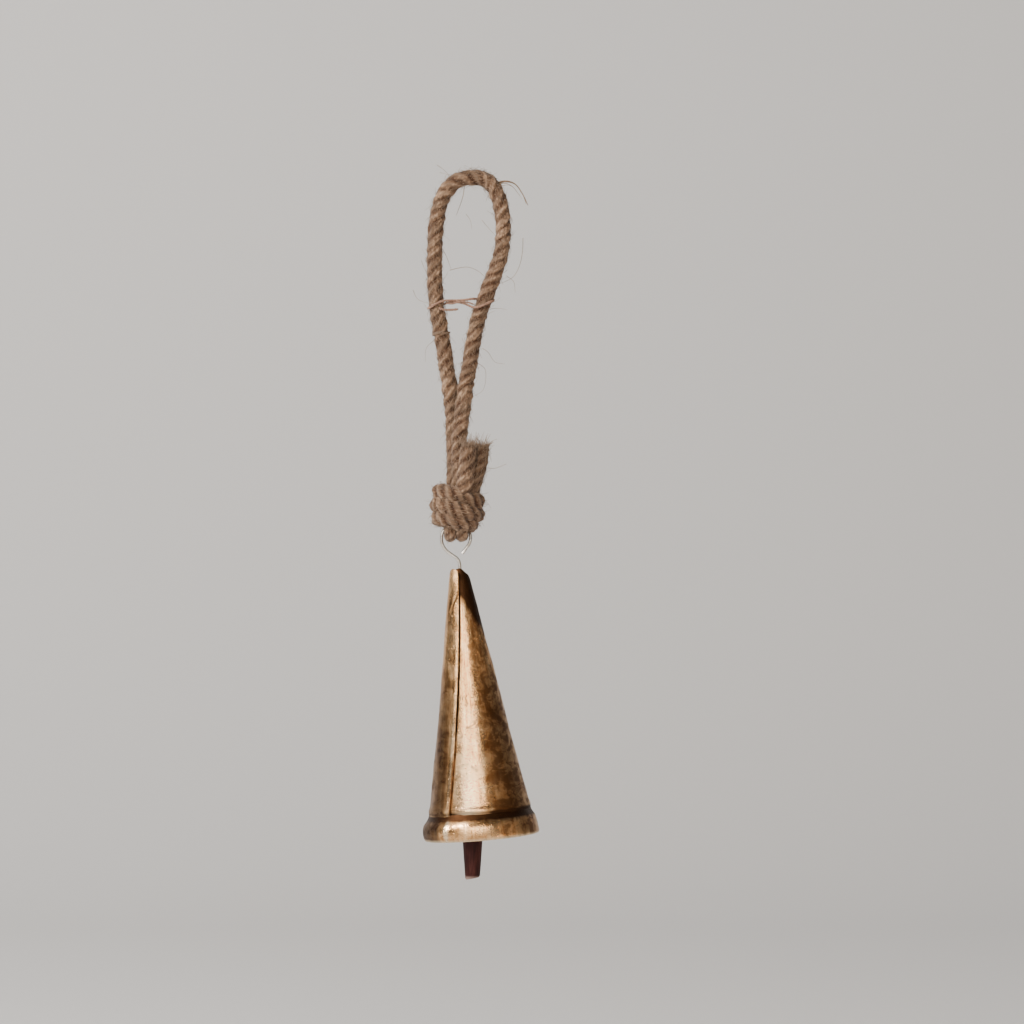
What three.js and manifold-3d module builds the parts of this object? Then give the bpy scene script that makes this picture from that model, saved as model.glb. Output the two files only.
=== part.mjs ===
// A wall mounted cone bell on a rope loop. Millimetres, +Z up, the front faces -Y.
// The origin is where the inside of the rope loop rests on its nail or hook.
//
// The bell is a rolled cone of sheet iron with a strip band round its mouth. A steel wire
// forms an eye over the rope's bight, goes down through the open tip of the cone, winds into
// a stop coil that holds the cone up, and ends in a small eye. A wire link joins that eye to
// a turned wood clapper.

import * as THREE from 'three';
import { mergeVertices } from 'three/addons/utils/BufferGeometryUtils.js';
import Module from 'manifold-3d';

const wasm = await Module();
wasm.setup();

// ---------------------------------------------------------------- driving dimensions

const FIT_GAP = 0.3; // clearance between pieces that touch on the real bell

const ROPE_RADIUS = 2.7;
const ROPE_SIDES = 10;
const YARN_RADIUS = 0.6;

// The limbs of the loop end above the bending point of the neck, and the neck starts below it.
const NECK_TOP_Z = -73.4;
const KNOT_CENTRE = new THREE.Vector3(-5.4, -0.9, -115.6);
const KNOT_RADII = new THREE.Vector3(9.9, 8.9, 9.0);

const WIRE_RADIUS = 0.55;
const EYE_CENTRE_X = -6.1; // middle of the hanger's eye, from side to side
const EYE_TOP_Z = -122.7; // centreline of the wire where it hangs in the bight
const EYE_HALF_WIDTH = 5.26;
const SWING_FORWARD = THREE.MathUtils.degToRad(55);
const SWING_BACK = THREE.MathUtils.degToRad(20);

const BIGHT_RADIUS = 3.8; // of the rope's centreline where it goes round the wire
const BIGHT_STRAND_RADIUS = 2.15; // the rope is squeezed flat here
const BIGHT_STRAND_OFFSET = 2.2; // each of the two strands from the middle

const LEAN = THREE.MathUtils.degToRad(4.7); // the bell hangs a little out of plumb
const TIP = new THREE.Vector3(-4.7, 0, -138.1); // middle of the open tip
const CONE_LENGTH = 96; // along the axis, tip to mouth
const TIP_RADIUS = 2.6;
const CONE_FLARE = 0.179; // radius gained for each mm along the axis
const SHEET = 0.8;
const LAP_STEP = 0.6; // how far the outer edge of the lap seam stands up
const LAP_WIDTH = 5;
const LAP_FADE = 12; // over which the lapped sheet settles back to the cone
const LAP_FLATTENED = 6; // above the band, over which the lap is hammered flat
const SEAM_AT_TIP = THREE.MathUtils.degToRad(-9); // from the front, negative to the left
const SEAM_AT_MOUTH = THREE.MathUtils.degToRad(-38);

const BAND_TOP = 88; // along the axis from the tip
const BAND_BOTTOM = 96.8;
const BAND_RADIUS = 20.8; // widest, across the bulge
const BAND_EDGE = 0.5; // thickness at its top edge

const COIL_RADIUS = 1.8; // centreline of the stop coil
const COIL_TOP = 4.3; // along the axis from the tip
const COIL_PITCH = 1.5;
const COIL_TURNS = 3;
const INNER_EYE_RADIUS = 2.4;
const INNER_EYE_DEPTH = 53; // its middle, along the axis from the tip

const LINK_WIRE_RADIUS = 0.5;
const LINK_ARC = 1.5; // of the link's round top
const LINK_HALF_WIDTH = 3.1;
const LINK_DROP = 5.7; // from the inner eye's wire to the hole in the clapper

const CLAPPER_HOLE_RADIUS = 0.95;
const CLAPPER_ABOVE_HOLE = 2.6;
const CLAPPER_TOP_RADIUS = 2.1;
const CLAPPER_RADIUS = 3.6; // widest, just inside the mouth
const CLAPPER_WIDEST_Z = -233;
const CLAPPER_END_RADIUS = 2.7;
const CLAPPER_END_Z = -249.9;

// The rope's route round the loop, from above the left side of the neck, over the nail
// and down to the right side of the neck.
const LOOP_ROUTE = [
  [-8.8, 0.6, -70],
  [-9.85, 0.4, -63.5],
  [-11.0, 0.2, -56],
  [-12.3, 0, -49],
  [-13.15, 0, -43],
  [-13.65, 0, -36.5],
  [-13.85, 0, -29],
  [-13.75, 0, -22],
  [-13.3, 0, -15],
  [-12.3, 0, -9],
  [-10.6, 0, -3.9],
  [-7.8, 0, -0.2],
  [-4.1, 0, 2],
  [0, 0, 2.7],
  [4, 0, 1.9],
  [7.1, 0, -0.6],
  [9.1, 0, -4.4],
  [10.4, 0, -9.8],
  [10.95, 0, -16],
  [10.6, 0, -21.5],
  [9.55, 0, -26.8],
  [7.9, 0, -32],
  [6.1, 0, -36.5],
  [4.3, 0, -41.5],
  [2.5, 0, -46.3],
  [1.1, 0, -51],
  [0.1, -0.2, -56],
  [-0.95, -0.4, -63],
  [-2.2, -0.6, -70],
];

// The two limbs lie side by side at the top of the neck and one behind the other below.
const NECK_ROUTES = [
  [[-8.3, 0.9, NECK_TOP_Z], [-7.5, 1.9, -80], [-7.1, 2.6, -90], [-6.8, 2.7, -100], [-6.9, 2.4, -112]],
  [[-2.7, -0.8, NECK_TOP_Z], [-3.5, -1.8, -80], [-4.75, -2.5, -90], [-5, -2.6, -100], [-5, -2.4, -112]],
];

// The two cut ends stand up in front, to the right of the neck.
const TAIL_ROUTES = [
  [[-1.8, -7.9, -93.2], [-2, -8, -99], [-2.6, -7.4, -106], [-3.6, -5.6, -113]],
  [[3.9, -5.9, -93.8], [3.4, -6.1, -99], [2, -5.9, -106], [-0.2, -4.6, -113]],
];

// The hanger's eye, from its cut end over the top and round to the stem: x from the middle
// of the eye and z from the top of its wire.
const EYE_ROUTE = [
  [2.3, -10.2],
  [3.6, -8.3],
  [4.75, -6.6],
  [EYE_HALF_WIDTH, -4.5],
  [4.5, -1.95],
  [2.7, -0.5],
  [0, 0],
  [-2.7, -0.5],
  [-4.5, -1.95],
  [-EYE_HALF_WIDTH, -4.5],
  [-4.9, -6.9],
  [-3.6, -9.0],
  [-1.6, -10.6],
  [0.3, -11.9],
];

// ---------------------------------------------------------------- helpers

function vectors(route) {
  return route.map(([x, y, z]) => new THREE.Vector3(x, y, z));
}

function circle(radius, sides) {
  const shape = new THREE.Shape();
  for (let i = 0; i < sides; i++) {
    const angle = (i / sides) * Math.PI * 2;
    const x = radius * Math.cos(angle);
    const y = radius * Math.sin(angle);
    if (i === 0) {
      shape.moveTo(x, y);
    } else {
      shape.lineTo(x, y);
    }
  }
  shape.closePath();
  return shape;
}

// A round bar of the given radius along a smooth curve through the points.
function bar(points, radius, sides, steps) {
  const path = new THREE.CatmullRomCurve3(points, false, 'centripetal');
  return new THREE.ExtrudeGeometry(circle(radius, sides), { steps, extrudePath: path });
}

function solid(geometry) {
  const bare = geometry.clone();
  bare.deleteAttribute('normal');
  bare.deleteAttribute('uv');
  const merged = mergeVertices(bare, 1e-4);
  const mesh = new wasm.Mesh({
    numProp: 3,
    vertProperties: new Float32Array(merged.attributes.position.array),
    triVerts: new Uint32Array(merged.index.array),
  });
  return new wasm.Manifold(mesh);
}

function geometryOf(manifold) {
  const mesh = manifold.getMesh();
  const geometry = new THREE.BufferGeometry();
  geometry.setAttribute('position', new THREE.BufferAttribute(mesh.vertProperties, 3));
  geometry.setIndex(new THREE.BufferAttribute(mesh.triVerts, 1));
  geometry.computeVertexNormals();
  return geometry;
}

// A point inside the bell: along its leaning axis from the tip, and off to one side of it.
function onAxis(along, side = 0, front = 0) {
  return new THREE.Vector3(side, -front, -along)
    .applyAxisAngle(new THREE.Vector3(0, 1, 0), -LEAN)
    .add(TIP);
}

function mesh(name, geometry, material) {
  const piece = new THREE.Mesh(geometry, material);
  piece.name = name;
  return piece;
}

// ---------------------------------------------------------------- rope

function ropeLoop() {
  return bar(vectors(LOOP_ROUTE), ROPE_RADIUS, ROPE_SIDES, 26);
}

// A yarn bound round both limbs of the loop, its ends a gap apart at the back.
function tieYarn() {
  const level = -43.2;
  const reach = ROPE_RADIUS + YARN_RADIUS + FIT_GAP;
  const left = -13.1;
  const right = 3.7;
  const points = [[-4.3, reach * 0.55, level]];
  for (let i = 0; i <= 6; i++) {
    const angle = (i / 6) * Math.PI;
    points.push([left - reach * Math.sin(angle), reach * Math.cos(angle), level - 0.15 * i]);
  }
  points.push([-4.7, -reach * 0.8, level - 0.2]);
  for (let i = 0; i <= 6; i++) {
    const angle = (i / 6) * Math.PI;
    points.push([right + reach * Math.sin(angle), -reach * Math.cos(angle), level - 0.15 * i]);
  }
  points.push([-3.6, reach * 0.8, level - 1.5]);
  return bar(vectors(points), YARN_RADIUS, 8, 60);
}

// The room that the hanger's eye sweeps under the knot as the bell swings.
function eyeSweep() {
  const wedge = new THREE.Shape();
  const far = 14;
  const above = 1;
  wedge.moveTo(-above, above);
  wedge.lineTo(above, above);
  wedge.lineTo(far * Math.sin(SWING_BACK) + above, -far * Math.cos(SWING_BACK));
  wedge.lineTo(-far * Math.sin(SWING_FORWARD), -far * Math.cos(SWING_FORWARD));
  wedge.closePath();
  const width = 2 * (EYE_HALF_WIDTH + WIRE_RADIUS + FIT_GAP);
  const sweep = new THREE.ExtrudeGeometry(wedge, { depth: width, bevelEnabled: false });
  // The drawing lies in (y, z) and is pulled out along x.
  const basis = new THREE.Matrix4().makeBasis(
    new THREE.Vector3(0, 1, 0),
    new THREE.Vector3(0, 0, 1),
    new THREE.Vector3(1, 0, 0),
  );
  sweep.applyMatrix4(basis);
  sweep.translate(EYE_CENTRE_X - width / 2, 0, EYE_TOP_Z);
  return sweep;
}

// One strand of the rope's bight: down in front, under the wire and up behind.
function bightStrand(x) {
  const points = [];
  points.push(new THREE.Vector3(x, -BIGHT_RADIUS, EYE_TOP_Z + 5));
  for (let i = 0; i <= 6; i++) {
    const angle = (i / 6) * Math.PI;
    const y = -BIGHT_RADIUS * Math.cos(angle);
    points.push(new THREE.Vector3(x, y, EYE_TOP_Z - BIGHT_RADIUS * Math.sin(angle)));
  }
  points.push(new THREE.Vector3(x, BIGHT_RADIUS, EYE_TOP_Z + 5));
  return bar(points, BIGHT_STRAND_RADIUS, ROPE_SIDES, 16);
}

function ropeKnot() {
  const ball = new THREE.SphereGeometry(1, 20, 14);
  ball.scale(KNOT_RADII.x, KNOT_RADII.y, KNOT_RADII.z);
  ball.translate(KNOT_CENTRE.x, KNOT_CENTRE.y, KNOT_CENTRE.z);
  let knot = solid(ball).subtract(solid(eyeSweep()));
  for (const route of [...NECK_ROUTES, ...TAIL_ROUTES]) {
    knot = knot.add(solid(bar(vectors(route), ROPE_RADIUS, ROPE_SIDES, 6)));
  }
  for (const side of [-1, 1]) {
    knot = knot.add(solid(bightStrand(EYE_CENTRE_X + side * BIGHT_STRAND_OFFSET)));
  }
  return geometryOf(knot);
}

// ---------------------------------------------------------------- wire

function hangerWire() {
  const points = EYE_ROUTE.map(([x, z]) => new THREE.Vector3(EYE_CENTRE_X + x, 0, EYE_TOP_Z + z));
  points.push(onAxis(-2.2, -0.1), onAxis(0), onAxis(2), onAxis(COIL_TOP - 0.6));
  const stepsPerTurn = 10;
  const last = COIL_TURNS * stepsPerTurn;
  for (let i = 1; i < last; i++) {
    const turn = i / stepsPerTurn;
    const grow = Math.min(1, turn / 0.5, (COIL_TURNS - turn) / 0.5);
    const angle = turn * Math.PI * 2;
    const reach = COIL_RADIUS * grow;
    const along = COIL_TOP + COIL_PITCH * turn;
    points.push(onAxis(along, reach * Math.cos(angle), reach * Math.sin(angle)));
  }
  const coilEnd = COIL_TOP + COIL_PITCH * COIL_TURNS;
  points.push(onAxis(coilEnd + 0.8), onAxis(coilEnd + 3), onAxis(30), onAxis(46), onAxis(49));
  for (let degrees = 35; degrees <= 325; degrees += 29) {
    const angle = THREE.MathUtils.degToRad(degrees);
    const along = INNER_EYE_DEPTH - INNER_EYE_RADIUS * Math.cos(angle);
    points.push(onAxis(along, INNER_EYE_RADIUS * Math.sin(angle)));
  }
  return bar(points, WIRE_RADIUS, 8, 160);
}

const innerEyeBottom = onAxis(INNER_EYE_DEPTH + INNER_EYE_RADIUS);

// A closed wire link in the (y, z) plane, its ends butted with a small gap on one side.
function clapperLink() {
  const right = [
    [LINK_ARC * 0.75, LINK_ARC * 0.8],
    [LINK_ARC * 1.15, 0],
    [LINK_HALF_WIDTH - 0.35, -1.9],
    [LINK_HALF_WIDTH, -3.4],
    [LINK_HALF_WIDTH - 0.05, LINK_WIRE_RADIUS * 2 - LINK_DROP],
    [LINK_HALF_WIDTH - 0.8, -LINK_DROP],
  ];
  const mirror = right.map(([y, z]) => [-y, z]).reverse();
  const ring = [[0, LINK_ARC], ...right, [0, -LINK_DROP], ...mirror];
  // The ring is started half way up one side, where its two ends face each other.
  const start = 4;
  const turned = [...ring.slice(start), ...ring.slice(0, start)];
  turned[0] = [LINK_HALF_WIDTH, -3.65];
  turned.push([LINK_HALF_WIDTH - 0.03, -3.25]);
  const points = turned.map(
    ([y, z]) => new THREE.Vector3(innerEyeBottom.x, y, innerEyeBottom.z + z),
  );
  return bar(points, LINK_WIRE_RADIUS, 8, 56);
}

// ---------------------------------------------------------------- bell

function coneRadius(along) {
  return TIP_RADIUS + CONE_FLARE * along;
}

// How far the outer face of the lapped sheet stands off the cone at a distance behind its
// edge. Under the band the lap is hammered flat.
function lapRise(distance, along) {
  const across = THREE.MathUtils.clamp(1 - (distance - LAP_WIDTH) / LAP_FADE, 0, 1);
  const down = THREE.MathUtils.clamp((BAND_TOP - along) / LAP_FLATTENED, 0, 1);
  return LAP_STEP * across * down;
}

// Turns a ring about the axis so that its joint follows the seam, and gives it a lap there.
// Vertices nearer the axis than innerLimit(along) keep their radius.
function lapped(lathe, segments, innerLimit) {
  const position = lathe.attributes.position;
  const columns = position.count / (segments + 1);
  for (let i = 0; i < position.count; i++) {
    const column = Math.floor(i / columns) % segments;
    const along = -position.getZ(i);
    const radius = Math.hypot(position.getX(i), position.getY(i));
    const seam = SEAM_AT_TIP + ((SEAM_AT_MOUTH - SEAM_AT_TIP) * along) / CONE_LENGTH;
    // The last column stands just behind the edge, where the lap is at its full height.
    const turn = column === segments - 1 ? -0.012 : (column / segments) * Math.PI * 2;
    const behind = turn < 0 ? 0 : (Math.PI * 2 - turn) * radius;
    const rise = column !== 0 && radius > innerLimit(along) ? lapRise(behind, along) : 0;
    position.setX(i, (radius + rise) * Math.sin(seam + turn));
    position.setY(i, -(radius + rise) * Math.cos(seam + turn));
  }
  return lathe;
}

// A profile of radii and distances down the axis, its outer side drawn downwards.
function latheAboutZ(profile, segments) {
  const points = profile.map(([radius, along]) => new THREE.Vector2(radius, -along)).reverse();
  const lathe = new THREE.LatheGeometry(points, segments);
  lathe.rotateX(Math.PI / 2);
  return lathe;
}

function bellShell() {
  const rows = 8;
  const outside = [];
  const inside = [];
  for (let i = 0; i <= rows; i++) {
    const along = (CONE_LENGTH * i) / rows;
    outside.push([coneRadius(along), along]);
    inside.unshift([coneRadius(along) - SHEET, along]);
  }
  const profile = [...inside, ...outside];
  profile.push(profile[0]);
  const segments = 64;
  return lapped(latheAboutZ(profile, segments), segments, (along) => coneRadius(along) - SHEET / 2);
}

function rimBand() {
  const inner = (along) => coneRadius(along) + FIT_GAP;
  const profile = [
    [inner(BAND_TOP), BAND_TOP],
    [inner(BAND_TOP) + BAND_EDGE, BAND_TOP + 0.1],
    [BAND_RADIUS - 1.1, BAND_TOP + 1.2],
    [BAND_RADIUS - 0.35, BAND_TOP + 2.4],
    [BAND_RADIUS, BAND_TOP + 4.1],
    [BAND_RADIUS, BAND_BOTTOM - 2.2],
    [BAND_RADIUS - 0.25, BAND_BOTTOM - 0.7],
    [BAND_RADIUS - 0.8, BAND_BOTTOM],
    [BAND_RADIUS - 1.7, BAND_BOTTOM],
    [BAND_RADIUS - 1.7, CONE_LENGTH + FIT_GAP],
    [BAND_RADIUS - 0.9, CONE_LENGTH + FIT_GAP],
    [BAND_RADIUS - 0.45, CONE_LENGTH - 0.6],
  ];
  profile.push(profile[0]);
  return latheAboutZ(profile, 64);
}

// ---------------------------------------------------------------- clapper

function clapper() {
  const hole = innerEyeBottom.z - LINK_DROP;
  const top = hole + CLAPPER_ABOVE_HOLE;
  const profile = [
    [0, top],
    [CLAPPER_TOP_RADIUS - 0.4, top],
    [CLAPPER_TOP_RADIUS, top - 0.5],
    [CLAPPER_TOP_RADIUS, hole - 2.5],
    [CLAPPER_RADIUS - 0.45, CLAPPER_WIDEST_Z + 12],
    [CLAPPER_RADIUS, CLAPPER_WIDEST_Z],
    [CLAPPER_RADIUS - 0.15, CLAPPER_WIDEST_Z - 5],
    [CLAPPER_END_RADIUS + 0.1, CLAPPER_END_Z + 0.7],
    [CLAPPER_END_RADIUS - 0.5, CLAPPER_END_Z],
    [0, CLAPPER_END_Z],
  ].reverse();
  const body = new THREE.LatheGeometry(
    profile.map(([radius, z]) => new THREE.Vector2(radius, z)),
    24,
  );
  body.rotateX(Math.PI / 2);
  const bore = new THREE.CylinderGeometry(CLAPPER_HOLE_RADIUS, CLAPPER_HOLE_RADIUS, 8, 16);
  bore.translate(0, 0, hole);
  const drilled = geometryOf(solid(body).subtract(solid(bore)));
  drilled.translate(innerEyeBottom.x, 0, 0);
  return drilled;
}

// ---------------------------------------------------------------- the whole bell

const jute = new THREE.MeshStandardMaterial({ color: 0xa5826a, roughness: 0.95, metalness: 0 });
const redJute = new THREE.MeshStandardMaterial({ color: 0x8a6052, roughness: 0.95, metalness: 0 });
const steel = new THREE.MeshStandardMaterial({ color: 0xc9c4bf, roughness: 0.35, metalness: 1 });
const brazing = new THREE.MeshStandardMaterial({ color: 0xb08a5a, roughness: 0.4, metalness: 1 });
const wood = new THREE.MeshStandardMaterial({ color: 0x5a3a38, roughness: 0.7, metalness: 0 });

const bell = new THREE.Group();
bell.position.copy(TIP);
bell.rotation.y = -LEAN;
bell.add(mesh('bell_shell', bellShell(), brazing), mesh('rim_band', rimBand(), brazing));

const assembly = new THREE.Group();
assembly.add(
  mesh('rope_loop', ropeLoop(), jute),
  mesh('tie_yarn', tieYarn(), redJute),
  mesh('rope_knot', ropeKnot(), jute),
  mesh('hanger_wire', hangerWire(), steel),
  bell,
  mesh('clapper_link', clapperLink(), steel),
  mesh('clapper', clapper(), wood),
);

export default assembly;
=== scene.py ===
"""A cone bell of brazed sheet iron on a knotted jute rope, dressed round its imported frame."""
import math

import bpy
import numpy as np
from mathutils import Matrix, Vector


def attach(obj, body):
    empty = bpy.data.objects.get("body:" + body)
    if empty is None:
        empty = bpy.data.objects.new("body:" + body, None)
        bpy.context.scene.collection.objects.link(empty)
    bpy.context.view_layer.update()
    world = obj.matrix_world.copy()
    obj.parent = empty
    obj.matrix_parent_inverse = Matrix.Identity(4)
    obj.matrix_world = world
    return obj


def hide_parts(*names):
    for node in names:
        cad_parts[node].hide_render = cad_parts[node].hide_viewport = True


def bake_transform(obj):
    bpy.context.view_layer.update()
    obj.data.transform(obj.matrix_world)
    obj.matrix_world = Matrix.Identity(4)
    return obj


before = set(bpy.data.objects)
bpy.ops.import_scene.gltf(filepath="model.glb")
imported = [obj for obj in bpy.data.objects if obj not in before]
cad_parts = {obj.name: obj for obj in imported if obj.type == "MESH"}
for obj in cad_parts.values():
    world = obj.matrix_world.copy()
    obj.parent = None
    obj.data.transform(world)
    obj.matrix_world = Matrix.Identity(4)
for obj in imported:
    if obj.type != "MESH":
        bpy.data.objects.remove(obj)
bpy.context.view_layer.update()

MM = 0.001
TURN = 2 * math.pi

# -------------------- the bell's own sizes, in metres

ROPE_DIAMETER = 0.0054
ROPE_LAY = 0.0128  # length in which a strand goes once round the rope

# From the knot up the left limb, over the nail and down the right limb to the knot.
LOOP_ROUTE = [
    (-0.0069, 0.0024, -0.1120), (-0.0068, 0.0027, -0.1000), (-0.0071, 0.0026, -0.0900),
    (-0.0075, 0.0019, -0.0800), (-0.0083, 0.0009, -0.0734), (-0.0088, 0.0006, -0.0700),
    (-0.00985, 0.0004, -0.0635), (-0.0110, 0.0002, -0.0560), (-0.0123, 0, -0.0490),
    (-0.01315, 0, -0.0430), (-0.01365, 0, -0.0365), (-0.01385, 0, -0.0290),
    (-0.01375, 0, -0.0220), (-0.0133, 0, -0.0150), (-0.0123, 0, -0.0090),
    (-0.0106, 0, -0.0039), (-0.0078, 0, -0.0002), (-0.0041, 0, 0.0020),
    (0, 0, 0.0027), (0.0040, 0, 0.0019), (0.0071, 0, -0.0006),
    (0.0091, 0, -0.0044), (0.0104, 0, -0.0098), (0.01095, 0, -0.0160),
    (0.0106, 0, -0.0215), (0.00955, 0, -0.0268), (0.0079, 0, -0.0320),
    (0.0061, 0, -0.0365), (0.0043, 0, -0.0415), (0.0025, 0, -0.0463),
    (0.0011, 0, -0.0510), (0.0001, -0.0002, -0.0560), (-0.00095, -0.0004, -0.0630),
    (-0.0022, -0.0006, -0.0700), (-0.0027, -0.0008, -0.0734), (-0.0035, -0.0018, -0.0800),
    (-0.00475, -0.0025, -0.0900), (-0.0050, -0.0026, -0.1000), (-0.0050, -0.0024, -0.1120),
]

# The two cut ends, from inside the knot up to where they are cut.
TAIL_ROUTES = {
    "tail_front": [
        (-0.0038, -0.0050, -0.1140),
        (-0.0031, -0.0064, -0.1085),
        (-0.0024, -0.0073, -0.1030),
        (-0.0018, -0.0076, -0.0980),
        (-0.0013, -0.0076, -0.0931),
    ],
    "tail_side": [
        (-0.0006, -0.0028, -0.1130),
        (0.0006, -0.0038, -0.1080),
        (0.0021, -0.0045, -0.1030),
        (0.0031, -0.0047, -0.0985),
        (0.0035, -0.0048, -0.0936),
    ],
}

WIRE_RADIUS = 0.00059
EYE_CENTRE_X = -0.0061
EYE_TOP_Z = -0.1227
BIGHT_RADIUS = 0.0038
BIGHT_OFFSET = 0.0021

LEAN = math.radians(4.7)
TIP = Vector((-0.0047, 0, -0.1381))
CONE_LENGTH = 0.096
TIP_RADIUS = 0.0026
CONE_FLARE = 0.179
SHEET = 0.0008

# The pale, middle and dark fibre of each jute.
JUTE_COLOURS = {
    "laid_jute": [(0.39, 0.250, 0.155), (0.092, 0.047, 0.025), (0.026, 0.011, 0.005)],
    # A darker copy of laid_jute: painted shade for the cut end that lies behind the other.
    "shade_painted_jute": [(0.13, 0.074, 0.040), (0.042, 0.020, 0.010), (0.010, 0.004, 0.002)],
    "loose_jute_fibre": [(0.46, 0.31, 0.20), (0.12, 0.066, 0.036), (0.032, 0.014, 0.006)],
    "red_jute_yarn": [(0.45, 0.25, 0.19), (0.22, 0.10, 0.075), (0.08, 0.03, 0.02)],
    "dark_thread": [(0.10, 0.05, 0.03), (0.035, 0.016, 0.009), (0.01, 0.004, 0.002)],
}


# -------------------- camera, light and stage

CAMERA_DISTANCE = 1.45
WIDTH_SEEN = 0.36864
SENSOR_WIDTH = 36  # in millimetres, as the lens is

# Each light's name, place, aim, size, power and colour.
LIGHTS = [
    ("front_window", (-0.40, -1.72, 0.40), (0, 0, -0.15), (1.75, 0.55), 23, (1, 0.93, 0.83)),
    ("left_window", (-1.30, -0.80, 1.05), (0, 0, -0.15), (0.5, 0.5), 52, (1, 0.95, 0.88)),
    ("right_panel", (1.35, -0.75, 0.35), (0, 0, -0.15), (1.1, 0.9), 1.1, (1, 0.72, 0.46)),
    ("low_warm_lamp", (0.75, -0.55, -0.32), (0.02, 0, -0.23), (0.12, 0.12), 1.1, (1, 0.66, 0.36)),
]

FLOOR_Z = -0.34
STAGE_HALF_WIDTH = 3.0
BACKDROP_TOP = 2.6
SWEEP_START = 0.7
SWEEP_RADIUS = 0.5
SWEEP_STEPS = 12


def make_camera():
    data = bpy.data.cameras.new("camera")
    data.sensor_width = SENSOR_WIDTH
    data.lens = SENSOR_WIDTH * CAMERA_DISTANCE / WIDTH_SEEN
    data.clip_start = 0.05
    camera = bpy.data.objects.new("camera", data)
    camera.location = (0.01404, -CAMERA_DISTANCE, -0.1179)
    camera.rotation_euler = (math.radians(90), 0, 0)
    bpy.context.scene.collection.objects.link(camera)
    bpy.context.scene.camera = camera


def area_light(name, place, towards, size, power, colour):
    data = bpy.data.lights.new(name, "AREA")
    data.shape = "RECTANGLE"
    data.size, data.size_y = size
    data.energy = power
    data.color = colour
    light = bpy.data.objects.new(name, data)
    light.location = place
    aim = Vector(towards) - Vector(place)
    light.rotation_euler = aim.to_track_quat("-Z", "Y").to_euler()
    bpy.context.scene.collection.objects.link(light)


def make_light():
    for light in LIGHTS:
        area_light(*light)
    world = bpy.data.worlds.new("studio")
    world.use_nodes = True
    background = world.node_tree.nodes["Background"]
    background.inputs["Color"].default_value = (0.76, 0.76, 0.8, 1)
    background.inputs["Strength"].default_value = 0.10
    bpy.context.scene.world = world


def make_stage():
    """A pale floor that sweeps up behind the bell into a plain backdrop."""
    bpy.ops.object.select_all(action="DESELECT")
    bpy.ops.mesh.primitive_plane_add(size=1, location=(0, 0, 0))
    sweep = bpy.context.object
    sweep.name = "stage_sweep"
    profile = [(-STAGE_HALF_WIDTH, FLOOR_Z), (SWEEP_START, FLOOR_Z)]
    for i in range(1, SWEEP_STEPS + 1):
        angle = i / SWEEP_STEPS * math.pi / 2
        back = SWEEP_START + SWEEP_RADIUS * math.sin(angle)
        profile.append((back, FLOOR_Z + SWEEP_RADIUS * (1 - math.cos(angle))))
    profile.append((SWEEP_START + SWEEP_RADIUS, BACKDROP_TOP))
    verts = [(x, y, z) for y, z in profile for x in (-STAGE_HALF_WIDTH, STAGE_HALF_WIDTH)]
    faces = [(2 * i, 2 * i + 1, 2 * i + 3, 2 * i + 2) for i in range(len(profile) - 1)]
    mesh = bpy.data.meshes.new("stage_sweep")
    mesh.from_pydata(verts, [], faces)
    sweep.data = mesh
    for face in mesh.polygons:
        face.use_smooth = True
    material = bpy.data.materials.new("pale_stage")
    material.use_nodes = True
    shader = material.node_tree.nodes["Principled BSDF"]
    shader.inputs["Base Color"].default_value = (0.74, 0.74, 0.75, 1)
    shader.inputs["Roughness"].default_value = 0.9
    mesh.materials.append(material)


# -------------------- routes, tubes and grain

ROUTE_SPLITS = 24  # how finely each stretch of a route is measured before it is evened out


def between(a, b, at_a, at_b, t):
    return (at_b - t) / (at_b - at_a) * a + (t - at_a) / (at_b - at_a) * b


def smooth_route(points, step):
    """Even stations along a centripetal Catmull-Rom curve through the points."""
    points = [np.array(p, float) for p in points]
    first = 2 * points[0] - points[1]
    last = 2 * points[-1] - points[-2]
    points = [first, *points, last]
    dense = []
    for p0, p1, p2, p3 in zip(points, points[1:], points[2:], points[3:]):
        t1 = np.linalg.norm(p1 - p0) ** 0.5
        t2 = t1 + np.linalg.norm(p2 - p1) ** 0.5
        t3 = t2 + np.linalg.norm(p3 - p2) ** 0.5
        for t in np.linspace(t1, t2, ROUTE_SPLITS, endpoint=False):
            a1 = between(p0, p1, 0, t1, t)
            a2 = between(p1, p2, t1, t2, t)
            a3 = between(p2, p3, t2, t3, t)
            b1 = between(a1, a2, 0, t2, t)
            b2 = between(a2, a3, t1, t3, t)
            dense.append(between(b1, b2, t1, t2, t))
    dense.append(points[-2])
    dense = np.array(dense)
    along = np.concatenate([[0], np.cumsum(np.linalg.norm(np.diff(dense, axis=0), axis=1))])
    count = max(4, int(round(along[-1] / step)))
    places = np.linspace(0, along[-1], count + 1)
    return np.stack([np.interp(places, along, dense[:, i]) for i in range(3)], 1), places


def carried_frames(line):
    """Tangents of a line, with two sides that don't twist about it."""
    tangent = np.gradient(line, axis=0)
    tangent /= np.linalg.norm(tangent, axis=1)[:, None]
    side = np.cross(tangent[0], (0, 1, 0.01))
    side /= np.linalg.norm(side)
    sides = [side]
    for t in tangent[1:]:
        side = side - t * np.dot(side, t)
        side /= np.linalg.norm(side)
        sides.append(side)
    sides = np.array(sides)
    return tangent, sides, np.cross(tangent, sides)


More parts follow.
